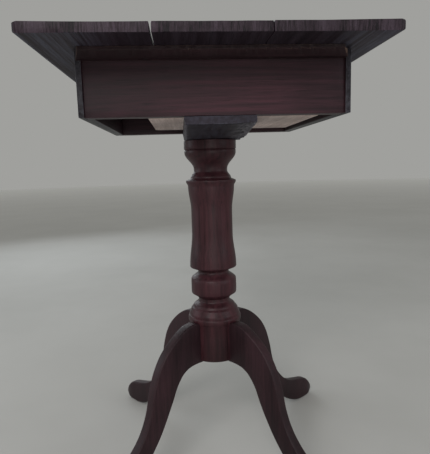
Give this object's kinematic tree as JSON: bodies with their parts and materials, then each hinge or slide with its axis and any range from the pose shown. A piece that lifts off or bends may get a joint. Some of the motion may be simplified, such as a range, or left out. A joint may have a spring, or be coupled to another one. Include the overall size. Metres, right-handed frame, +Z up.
{
  "type": "tilt top table",
  "caption": "Small stand whose boarded top and shallow box frame tip sideways on two iron pins, over a turned column with curved legs.",
  "frame": {"origin": "on the floor, on the column's axis, which is the centre of the bounding box seen from above", "axes": "+Z up, +Y to the back, +X to the right; the top tips down towards +X"},
  "size_m": [0.4856, 0.522, 0.72],
  "materials": {
    "top_wood": "worn satin stain",
    "batten_wood": "worn satin stain",
    "panel_wood": "satin stain",
    "bearer_wood": "rough, dark stain",
    "pale_wood": "unfinished",
    "column_wood": "satin stain",
    "leg_wood": "satin stain, worn edges",
    "iron": "dull"
  },
  "bodies": {
    "stand": {"column": "column_wood", "tenon_wedge": "pale_wood", "bearer": "bearer_wood", "pivot_board": "pale_wood", "pivot_board_nails": "iron", "rear_pivot_block": "bearer_wood", "pivot_block_nails": "iron", "pivot_pin_front": "iron", "pivot_pin_rear": "iron", "button_spacer": "bearer_wood", "button_screw": "iron", "leg_front_left": "leg_wood", "leg_front_right": "leg_wood", "leg_rear_left": "leg_wood", "leg_rear_right": "leg_wood"},
    "top": {"top_board_left": "top_wood", "top_board_middle": "top_wood", "top_board_right": "top_wood", "front_batten": "batten_wood", "rear_batten": "batten_wood", "batten_nails": "iron", "front_panel": "panel_wood", "back_panel": "panel_wood", "left_side_panel": "panel_wood", "right_side_panel": "panel_wood", "panel_nails": "iron", "glue_blocks": "pale_wood", "keeper_block": "pale_wood", "keeper_nails": "iron"},
    "button": {"turn_button": "bearer_wood"}
  },
  "joints": [
    {"name": "top_tilt", "type": "hinge", "parent": "stand", "child": "top", "pos_m": [0.0705, 0, 0.6238], "axis": [0, 1, 0], "range_deg": [0, 95]},
    {"name": "button_turn", "type": "hinge", "parent": "stand", "child": "button", "pos_m": [-0.07, -0.118, 0.641], "axis": [0, 0, 1], "range_deg": [0, 90]}
  ]
}
